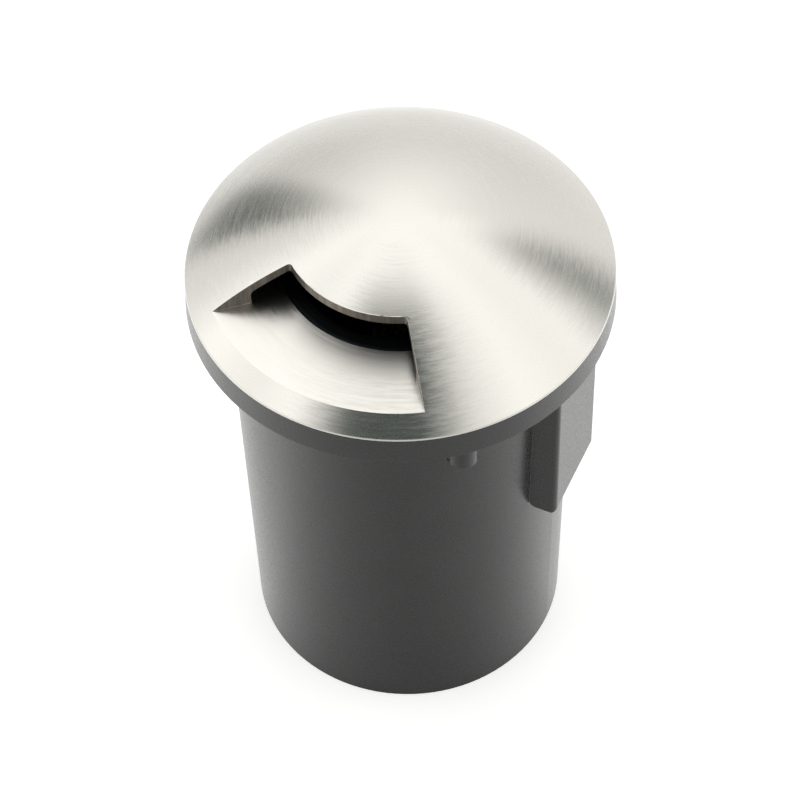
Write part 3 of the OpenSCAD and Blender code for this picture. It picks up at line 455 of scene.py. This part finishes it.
def windowOutline(c, hollow, touch, reach):
    # Radius and angle of half the window's outline, seen from above: round the cutter's circle, which touches
    # the curved back and the straight side, then out along that side. The rows cross the hollow's ball, its
    # fillet and the window's floor in turn. Also gives the number of the row where the hollow's wall stands.
    half = math.radians(c["windowSpread"] / 2)
    apex, back, bit = c["windowApex"], c["windowBack"], c["cutter"]
    along = apex * math.cos(half)
    fromAxis = apex ** 2 + bit ** 2 + 2 * bit * apex * math.sin(half)
    run = -along + math.sqrt(along ** 2 - fromAxis + (back + bit) ** 2)
    side = np.array([apex + run * math.cos(half), run * math.sin(half)])
    hub = side + bit * np.array([math.sin(half), -math.cos(half)])
    sweep = np.linspace(math.pi + math.atan2(hub[1], hub[0]), math.pi / 2 + half, c["cornerRows"] + 1)
    corner = hub + bit * np.stack([np.cos(sweep), np.sin(sweep)], axis=1)
    cornerRadius = np.hypot(corner[:, 0], corner[:, 1])
    filletTurn = np.linspace(math.asin((touch - hollow) / c["fillet"]), math.pi / 2, c["filletRows"] + 1)
    lineRadius = np.concatenate([np.linspace(cornerRadius[-1], touch, c["shellRows"] + 1)[1:],
                                 hollow + c["fillet"] * np.sin(filletTurn[1:]),
                                 np.linspace(c["cavity"], reach, c["floorRows"] + 1)[1:]])
    step = -along + np.sqrt(lineRadius ** 2 - (apex * math.sin(half)) ** 2)
    radius = np.concatenate([cornerRadius, lineRadius])
    radius[0] = back
    angle = np.concatenate([np.arctan2(corner[:, 1], corner[:, 0]),
                            np.arctan2(step * math.sin(half), apex + step * math.cos(half))])
    return radius, angle, c["cornerRows"] + c["shellRows"] + c["filletRows"]


def coverGrids():
    # The dome is rings of points, each a radius, an angle and a height: whole rings inside the outline's start
    # and outside its end, and rings that stop at the outline between them. The height is the outer ball's or
    # the hollow's at that radius, and the window's walls span from one to the other along the outline.
    c = cover
    ball, middle, inner, floor, hollow, bend, touch, reach = domeForm(c)
    radius, angle, bore = windowOutline(c, hollow, touch, reach)

    def outer(r):
        return middle + np.sqrt(ball ** 2 - r ** 2)

    def within(r):
        return np.where(r <= touch, middle + np.sqrt(np.maximum(inner ** 2 - r ** 2, 0)),
                        bend + np.sqrt(np.maximum(c["fillet"] ** 2 - (r - hollow) ** 2, 0)))

    windowShare = np.linspace(-1, 1, c["windowColumns"] + 1)
    rimShare = np.linspace(0, 1, c["rimColumns"] + 1)

    def toPoints(r, phi, z):
        r, phi, z = np.broadcast_arrays(np.asarray(r, float), phi, np.asarray(z, float))
        turn = phi + math.radians(c["windowTurn"])
        return np.stack([r * np.cos(turn), r * np.sin(turn), z], axis=-1)

    def windowPart(phi):
        return np.asarray(phi)[:, None] * windowShare[None, :]

    def rimPart(phi):
        phi = np.asarray(phi)[:, None]
        return phi + (math.tau - 2 * phi) * rimShare[None, :]

    def ringPart(phi):
        return np.concatenate([windowPart(phi), rimPart(phi)[:, 1:-1]], axis=1)

    def ring(r, phi, z):
        r = np.asarray(r, float)
        return toPoints(r[:, None], ringPart(np.broadcast_to(phi, r.shape)), np.broadcast_to(z, r.shape)[:, None])

    def rim(rows, z):
        high = np.broadcast_to(z, radius[rows].shape)
        return toPoints(radius[rows][:, None], rimPart(angle[rows]), high[:, None])

    brushed, milled, turned, litFloorSteel, hollowShade = 0, 1, 2, 3, 4
    every, upTo, beyond = slice(None), slice(0, bore + 1), slice(bore, None)
    crown = radius[0] * np.sin(np.linspace(0, math.pi / 2, c["crownRows"] + 1))
    # The rim's outer corner is eased along a parabola from the dome's slope to the upright land, and its
    # lower corner is a quarter circle
    land, s = c["edge"] - c["softRim"], np.linspace(0, 1, c["easedRows"] + 1)
    start = c["radius"] - c["softRim"] * math.sqrt(1 - (c["radius"] / ball) ** 2)
    skirt = np.linspace(reach, start, c["skirtRows"] + 1)
    quarter = np.linspace(0, math.pi / 2, c["brokenRows"] + 1)[1:]
    rimRadius = np.concatenate([(1 - s) ** 2 * start + (1 - (1 - s) ** 2) * c["radius"],
                                c["radius"] - land + land * np.cos(quarter)])
    rimHeight = np.concatenate([(1 - s) ** 2 * outer(start) + 2 * s * (1 - s) * (c["underside"] + c["edge"])
                                + s ** 2 * (c["underside"] + land), c["underside"] + land - land * np.sin(quarter)])
    foot = np.linspace(c["radius"] - land, c["mouth"], c["footRows"] + 1)
    footTurn = np.linspace(angle[-1], angle[bore], c["footRows"] + 1)
    sill = np.linspace(c["mouth"], c["cavity"], c["footRows"] + 1)
    backWall = np.array([[outer(radius[0])], [within(radius[0])]])
    grids = [
        (ring(crown, angle[0], outer(crown)), True, brushed),
        (rim(every, outer(radius)), False, brushed),
        (ring(skirt, angle[-1], outer(skirt)), True, brushed),
        (ring(rimRadius, angle[-1], rimHeight), True, brushed),
        (ring(foot, footTurn, c["underside"]), True, turned),
        (ring([c["mouth"]] * 2, angle[bore], [c["underside"], floor]), True, turned),
        (ring(sill, angle[bore], floor), True, litFloorSteel),
        (toPoints(radius[beyond][:, None], windowPart(angle[beyond]), floor), False, litFloorSteel),
        # The hollow's upright wall, roof and crown take the near-black painted shade
        (rim([bore, bore], [floor, bend]), False, hollowShade),
        (rim(upTo, within(radius[upTo])), False, hollowShade),
        (ring(crown, angle[0], within(crown)), True, hollowShade),
        (toPoints(radius[0], windowPart([angle[0]] * 2), backWall), False, milled),
    ]
    # The side walls, in two bands outside the hollow's wall so that they share its upper corner
    share = (bend - floor) / (outer(c["cavity"]) - floor)
    middleLine = floor + (outer(radius[beyond]) - floor) * share
    for sign in (-1, 1):
        for rows, low, high in ((upTo, within(radius[upTo]), outer(radius[upTo])),
                                (beyond, np.full(len(radius) - bore, floor), middleLine),
                                (beyond, middleLine, outer(radius[beyond]))):
            lowHigh = np.stack([low, high], axis=1)
            grids.append((toPoints(radius[rows][:, None], sign * angle[rows][:, None], lowHigh), False, milled))
    return grids


def cloud(tree, place, low, high, size):
    # Slow change between two tones, over patches of about size mm
    noise = addNode(tree, "TexNoise", {"Scale": 1 / (size * mm), "Detail": 3.0}, {"Vector": place})
    tone = setRamp(addNode(tree, "ValToRGB", None, {"Fac": noise.outputs["Fac"]}),
                   [(0.35, toLinear(low)), (0.65, toLinear(high))])
    return tone.outputs["Color"]


def relief(tree, shader, height, depth, roughness, spread, edge=0.0):
    # One pattern drives the bump, depth in mm, and breaks up the gloss by spread to either side.
    # An edge above 0 is the radius, in mm, at which the light sees the corners rounded.
    rough = addNode(tree, "MapRange", {"From Min": 0.3, "From Max": 0.7, "To Min": roughness - spread,
                                       "To Max": roughness + spread}, {"Value": height})
    tree.links.new(rough.outputs["Result"], shader.inputs["Roughness"])
    bump = addNode(tree, "Bump", {"Strength": 1.0, "Distance": depth * mm}, {"Height": height})
    if edge > 0:
        corner = addNode(tree, "Bevel", {"samples": 6, "Radius": edge * mm})
        tree.links.new(corner.outputs["Normal"], bump.inputs["Normal"])
    tree.links.new(bump.outputs["Normal"], shader.inputs["Normal"])


def moulded(name, low, high, roughness, grain, depth, patch=14.0, edge=0.0):
    # Plastic or rubber from a mould: even colour with faint clouds, and the mould's fine grain
    material, tree, shader, place = newMaterial(name)
    tree.links.new(cloud(tree, place, low, high, patch), shader.inputs["Base Color"])
    speck = addNode(tree, "TexNoise", {"Scale": 1 / (grain * mm), "Detail": 2.0, "Roughness": 0.6}, {"Vector": place})
    relief(tree, shader, speck.outputs["Fac"], depth, roughness, spread=0.06, edge=edge)
    return material


steelOuter = brushedSteel("stainlessSteelRingBrushed", cover["steel"],
                          roughness=0.24, anisotropy=0.7, scratch=0.05, waver=0.008)
# The window's floor is brushed deeper, so the dark hollow mirrors in it only as a soft grey edge. Its paler tint is
# painted light.
steelFloor = brushedSteel("stainlessSteelWindowFloor", cover["litFloorSteel"],
                          roughness=0.3, anisotropy=0.85, scratch=0.07, waver=0.01)
steelMilled = milledSteel("stainlessSteelMilled", cover["milled"], roughness=0.48)
# The foot is left as the lathe left it: duller than the outside, and its greyer tint is painted shade for faces that
# look away from the light
steelTurned = brushedSteel("stainlessSteelTurned", cover["footShadedTint"],
                           roughness=0.38, anisotropy=0.6, scratch=0.08, waver=0.01)
# The hollow is given a matt near-black: painted shade where it lies in shadow, so the window reads evenly black
paintedShadeInside = moulded("hollowPaintedShade", cover["hollowShadeLow"], cover["hollowShadeHigh"], roughness=0.75, grain=0.5, depth=0.01)
paintedShadeInside.node_tree.nodes["Principled BSDF"].inputs["Specular IOR Level"].default_value = 0.15
domeCover = meshFromGrids("domeCover", coverGrids(), [steelOuter, steelMilled, steelTurned, steelFloor, paintedShadeInside])
breakEdges(domeCover, cover["brokenEdge"])
standIn(domeCover, "dome_cover", "cover")
print("cover made")


def castMetal(name, low, high, roughness, grain, depth):
    # Die-cast aluminium, bead blasted: pale grey and satin, with a pebbled skin and faint flow clouds
    material, tree, shader, place = newMaterial(name)
    tree.links.new(cloud(tree, place, low, high, 9.0), shader.inputs["Base Color"])
    pebble = addNode(tree, "TexVoronoi", {"feature": "SMOOTH_F1", "Scale": 1 / (grain * mm), "Smoothness": 0.6},
                     {"Vector": place})
    relief(tree, shader, pebble.outputs["Distance"], depth, roughness, spread=0.05, edge=0.4)
    shader.inputs["Metallic"].default_value = 1.0
    return material


def turnedMetal(name, low, high, roughness, pitch, depth):
    # Metal faced on a lathe: fine rings about the light's axis, which catch the light as thin circles
    material, tree, shader, place = newMaterial(name)
    _, radius, height = roundTheAxis(tree, place)
    groove = addNode(tree, "CombineXYZ", None, {"X": radius, "Y": height})
    rings = addNode(tree, "TexNoise", {"Scale": 1 / (pitch * mm), "Detail": 2.0}, {"Vector": groove.outputs["Vector"]})
    tone = setRamp(addNode(tree, "ValToRGB", None, {"Fac": rings.outputs["Fac"]}),
                   [(0.35, toLinear(low)), (0.65, toLinear(high))])
    tree.links.new(tone.outputs["Color"], shader.inputs["Base Color"])
    relief(tree, shader, rings.outputs["Fac"], depth, roughness, spread=0.06)
    shader.inputs["Metallic"].default_value = 1.0
    return material


def brightMetal(name, low, high, roughness, grain, thread=0.0):
    # Small turned or plated parts: bright, with short fine scratches and a little handling wear. A thread
    # above 0 is its pitch in mm, and marks the upright shanks.
    material, tree, shader, place = newMaterial(name)
    tree.links.new(cloud(tree, place, low, high, 2.5), shader.inputs["Base Color"])
    streak = addNode(tree, "Mapping", {"Scale": (1 / (grain * mm), 1 / (grain * mm), 1 / (grain * 5 * mm))},
                     {"Vector": place})
    scratch = addNode(tree, "TexNoise", {"Scale": 1.0, "Detail": 3.0}, {"Vector": streak.outputs["Vector"]})
    relief(tree, shader, scratch.outputs["Fac"], depth=0.008, roughness=roughness, spread=0.08)
    if thread > 0:
        flanks = addNode(tree, "Bump", {"Strength": 1.0, "Distance": 0.3 * thread * mm},
                         {"Height": windings(tree, place, "Z", thread)})
        tree.links.new(flanks.outputs["Normal"], shader.inputs["Normal"].links[0].from_node.inputs["Normal"])
    shader.inputs["Metallic"].default_value = 1.0
    return material


def clearMaterial(name, tint, ior):
    # Clear glass or acrylic: what is behind shows through, the edge looks a little tinted, and a wiped
    # smear every 12 mm or so dulls it
    material, tree, shader, place = newMaterial(name)
    smear = addNode(tree, "TexNoise", {"Scale": 1 / (12 * mm), "Detail": 3.0}, {"Vector": place})
    rough = addNode(tree, "MapRange", {"From Min": 0.4, "From Max": 0.7, "To Min": 0.0, "To Max": 0.04},
                    {"Value": smear.outputs["Fac"]})
    tree.links.new(rough.outputs["Result"], shader.inputs["Roughness"])
    shader.inputs["Base Color"].default_value = toLinear(tint)
    shader.inputs["Transmission Weight"].default_value = 1.0
    shader.inputs["IOR"].default_value = ior
    return material


def bandMask(tree, place, axis, low, high):
    # 1 between two places along an axis, in mm, and 0 outside
    split = addNode(tree, "SeparateXYZ", None, {"Vector": place})
    over = addNode(tree, "Math", {"operation": "GREATER_THAN", 1: low * mm}, {0: split.outputs[axis]})
    under = addNode(tree, "Math", {"operation": "LESS_THAN", 1: high * mm}, {0: split.outputs[axis]})
    return addNode(tree, "Math", {"operation": "MULTIPLY"}, {0: over.outputs[0], 1: under.outputs[0]}).outputs[0]


def windings(tree, place, axis, pitch):
    # Round turns side by side along an axis, pitch mm apart: the sine's size, half a wave for each turn
    split = addNode(tree, "SeparateXYZ", None, {"Vector": place})
    turns = addNode(tree, "Math", {"operation": "MULTIPLY", 1: math.pi / (pitch * mm)}, {0: split.outputs[axis]})
    wave = addNode(tree, "Math", {"operation": "SINE"}, {0: turns.outputs[0]})
    return addNode(tree, "Math", {"operation": "ABSOLUTE"}, {0: wave.outputs[0]}).outputs[0]


def woundPart(name, core, wire, axis, low, high, pitch, depth, metallic):
    # A core with a winding in its middle band: matt dark ferrite at both ends, turns of wire or tape between, each
    # darkened towards the grooves between turns as painted shade
    material, tree, shader, place = newMaterial(name)
    mask = bandMask(tree, place, axis, low, high)
    turns = windings(tree, place, axis, pitch)
    # Darker towards the grooves between turns: painted shade in the creases
    shade = setRamp(addNode(tree, "ValToRGB", None, {"Fac": turns}), [(0.0, darker(wire, 0.35)), (0.5, toLinear(wire))])
    body = cloud(tree, place, core[0], core[1], 3.0)
    colour = addNode(tree, "Mix", {"data_type": "RGBA"}, {0: mask, 6: body, 7: shade.outputs["Color"]})
    tree.links.new(colour.outputs[2], shader.inputs["Base Color"])
    height = addNode(tree, "Math", {"operation": "MULTIPLY"}, {0: mask, 1: turns})
    bump = addNode(tree, "Bump", {"Strength": 1.0, "Distance": depth * mm}, {"Height": height.outputs[0]})
    tree.links.new(bump.outputs["Normal"], shader.inputs["Normal"])
    shine = addNode(tree, "Math", {"operation": "MULTIPLY", 1: metallic}, {0: mask})
    tree.links.new(shine.outputs[0], shader.inputs["Metallic"])
    shader.inputs["Roughness"].default_value = 0.42
    return material


def canMaterial(name, sleeveTint, capTint, axis, end, edge):
    # A capacitor: glossy shrink sleeve, and the bare aluminium of the can's end, which reaches to edge
    material, tree, shader, place = newMaterial(name)
    bare = bandMask(tree, place, axis, end, edge)
    colour = addNode(tree, "Mix", {"data_type": "RGBA", 7: toLinear(capTint)},
                     {0: bare, 6: cloud(tree, place, sleeveTint[0], sleeveTint[1], 4.0)})
    tree.links.new(colour.outputs[2], shader.inputs["Base Color"])
    tree.links.new(bare, shader.inputs["Metallic"])
    wrap = addNode(tree, "TexNoise", {"Scale": 1 / (1.2 * mm), "Detail": 1.0}, {"Vector": place})
    relief(tree, shader, wrap.outputs["Fac"], depth=0.01, roughness=0.3, spread=0.05)
    return material


def boardMaterial(name, mask, track, pitch, width):
    # A printed board: glossy solder mask, with copper tracks a little raised and paler under it. The tracks
    # are level lines of the distance to points pitch mm apart. They come twice between apart, and spread by
    # width to each side, both as shares of the pitch.
    material, tree, shader, place = newMaterial(name)
    between = 0.14
    grid = addNode(tree, "TexVoronoi", {"feature": "F1", "distance": "MANHATTAN", "Scale": 1 / (pitch * mm)},
                   {"Vector": place})
    stripes = addNode(tree, "Math", {"operation": "PINGPONG", 1: between}, {0: grid.outputs["Distance"]})
    line = addNode(tree, "Math", {"operation": "GREATER_THAN", 1: between - width}, {0: stripes.outputs[0]})
    colour = addNode(tree, "Mix", {"data_type": "RGBA", 6: toLinear(mask), 7: toLinear(track)}, {0: line.outputs[0]})
    tree.links.new(colour.outputs[2], shader.inputs["Base Color"])
    relief(tree, shader, line.outputs[0], depth=0.02, roughness=0.3, spread=0.03)
    return material


def emitterMaterial(name, tint, between, pitch):
    # Chips under yellow phosphor: rows of faint squares in a rubbery coat
    material, tree, shader, place = newMaterial(name)
    chips = addNode(tree, "TexVoronoi", {"distance": "CHEBYCHEV", "Scale": 1 / (pitch * mm), "Randomness": 0.0},
                    {"Vector": place})
    tone = setRamp(addNode(tree, "ValToRGB", None, {"Fac": chips.outputs["Distance"]}),
                   [(0.3, toLinear(tint)), (0.42, toLinear(between))])
    tree.links.new(tone.outputs["Color"], shader.inputs["Base Color"])
    relief(tree, shader, chips.outputs["Distance"], depth=0.02, roughness=0.35, spread=0.04)
    return material


sleeve = {
    "low": "#191c1b", "high": "#1f2221", "roughness": 0.27,
    "grain": 0.45, "grainDepth": 0.01,    # mm, the mould's spark-eroded grain, drawn coarser than life
    "softEdge": 0.35,      # mm, the radius that the light sees on the corners
    "lip": 0.45,           # mm that the flange's top stands closer to the cover than in the solid, so no gap shows
    "lipBelow": 0.6,       # mm under the cover: points above this rise with the lip
    "lipInside": 0.1,      # mm that the lip's edge stands inside the cover's
}
# Polypropylene, moulded, charcoal: nearly black in itself, and its satin skin picks up the white room
# at the flanks, so that it reads grey
sleevePlastic = moulded("polypropyleneMoulded", sleeve["low"], sleeve["high"], sleeve["roughness"], sleeve["grain"],
                        sleeve["grainDepth"], edge=sleeve["softEdge"])
groundSleeve = mergedCopy("ground_sleeve", "groundSleeve", sleevePlastic, cover["underside"] - sleeve["lipBelow"],
                          sleeve["lip"], cover["radius"] - sleeve["lipInside"])
standIn(groundSleeve, "ground_sleeve", "sleeve")
print("sleeve made")

# The other pieces keep their solids. Grain, pitch, depth and patch are in mm. Each note says what the eye gets.
rubber = moulded("siliconeRubber", "#191919", "#222222", roughness=0.7, grain=0.4, depth=0.02, patch=6.0)  # matt, dusty
screwSteel = brightMetal("stainlessSteelScrew", "#bcb9b5", "#cecbc6", roughness=0.3, grain=0.15, thread=0.7)
nickel = brightMetal("nickelPlatedBrass", "#bdb6a8", "#cac3b5", roughness=0.26, grain=0.2)   # warm satin silver
finishes = {
    # yellow with a dull shine
    "boss_inserts": brightMetal("turnedBrass", "#b08a4c", "#c9a463", roughness=0.3, grain=0.2),
    # pale grey satin, a little pebbled
    "housing": castMetal("dieCastAluminium", "#9d9fa1", "#a7a9aa", roughness=0.5, grain=0.5, depth=0.03),
    # matt black, which the rings and seals share
    "seat_gasket": rubber, "glass_gasket": rubber, "gland_washer": rubber, "gland_seal": rubber,
    "cover_oring": rubber,
    # bright heads, and shanks with the thread's lines
    "mount_screws": screwSteel, "clamp_screws": screwSteel, "board_screws": screwSteel,
    "carrier_screws": screwSteel, "earth_screw": screwSteel,
    # faintly green, with sharp reflections
    "glass": clearMaterial("toughenedGlass", "#eaf7f1", ior=1.52),
    # black and satin, with rings that show as thin circles
    "clamp_ring": turnedMetal("aluminiumBlackAnodised", "#303336", "#3a3e41", roughness=0.42, pitch=0.3, depth=0.006),
    # dull black that swallows stray light
    "glare_baffle": moulded("polycarbonateBlack", "#2e3030", "#383a3a", roughness=0.55, grain=0.3, depth=0.01,
                            patch=8.0),
    # clear as water
    "lens": clearMaterial("acrylicClear", "#f6fafb", ior=1.49),
    # egg yellow, with the chips' squares just visible
    "led_emitter": emitterMaterial("phosphorInSilicone", "#e3bf3a", "#c99c22", pitch=1.35),
    # white, with faint raised tracks
    "led_board": boardMaterial("solderMaskWhite", "#e9e8e2", "#dcdad2", pitch=5.0, width=0.03),
    # bright metal with fine turned rings
    "carrier_plate": turnedMetal("aluminiumMachined", "#bfc1c3", "#d5d7d8", roughness=0.32, pitch=0.35, depth=0.008),
    # soft satin red
    "led_leads": moulded("siliconeLeadRed", "#8e1717", "#a51f1c", roughness=0.5, grain=0.2, depth=0.004, patch=3.0),
    # off-white and papery
    "driver_liner": moulded("insulatingSheet", "#d6d3c8", "#e2e0d7", roughness=0.6, grain=0.35, depth=0.012, patch=5.0),
    # glossy green, with paler tracks
    "driver_board": boardMaterial("glassEpoxyBoard", "#175c33", "#2b7d4a", pitch=4.0, width=0.035),
    # dark core, with turns of yellow tape round its middle
    "transformer": woundPart("ferriteAndTape", ("#2c2c2b", "#383836"), "#c9a227", "Z", low=63.3, high=72.3,
                             pitch=0.8, depth=0.05, metallic=0.0),
    # blank blue sleeve with a bare silver end
    "capacitors": canMaterial("capacitorSleeve", ("#1d2c63", "#24356f"), "#c9cbcc", "Y", end=-100.0, edge=-12.5),
    # dark drum with shining copper turns
    "choke": woundPart("ferriteAndCopper", ("#2b2b2a", "#363634"), "#b3683a", "Y", low=2.8, high=8.8,
                       pitch=0.5, depth=0.25, metallic=0.9),
    # plain mid green, lightly grained
    "terminal_block": moulded("polyamideGreen", "#1f6a3b", "#277845", roughness=0.42, grain=0.3, depth=0.01, patch=5.0),
    "gland_body": nickel, "gland_locknut": nickel, "gland_nut": nickel,
}
for node, material in finishes.items():
    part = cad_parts[node].data
    part.materials.clear()
    part.materials.append(material)
print("other parts dressed")

scene.view_settings.view_transform = "Standard"
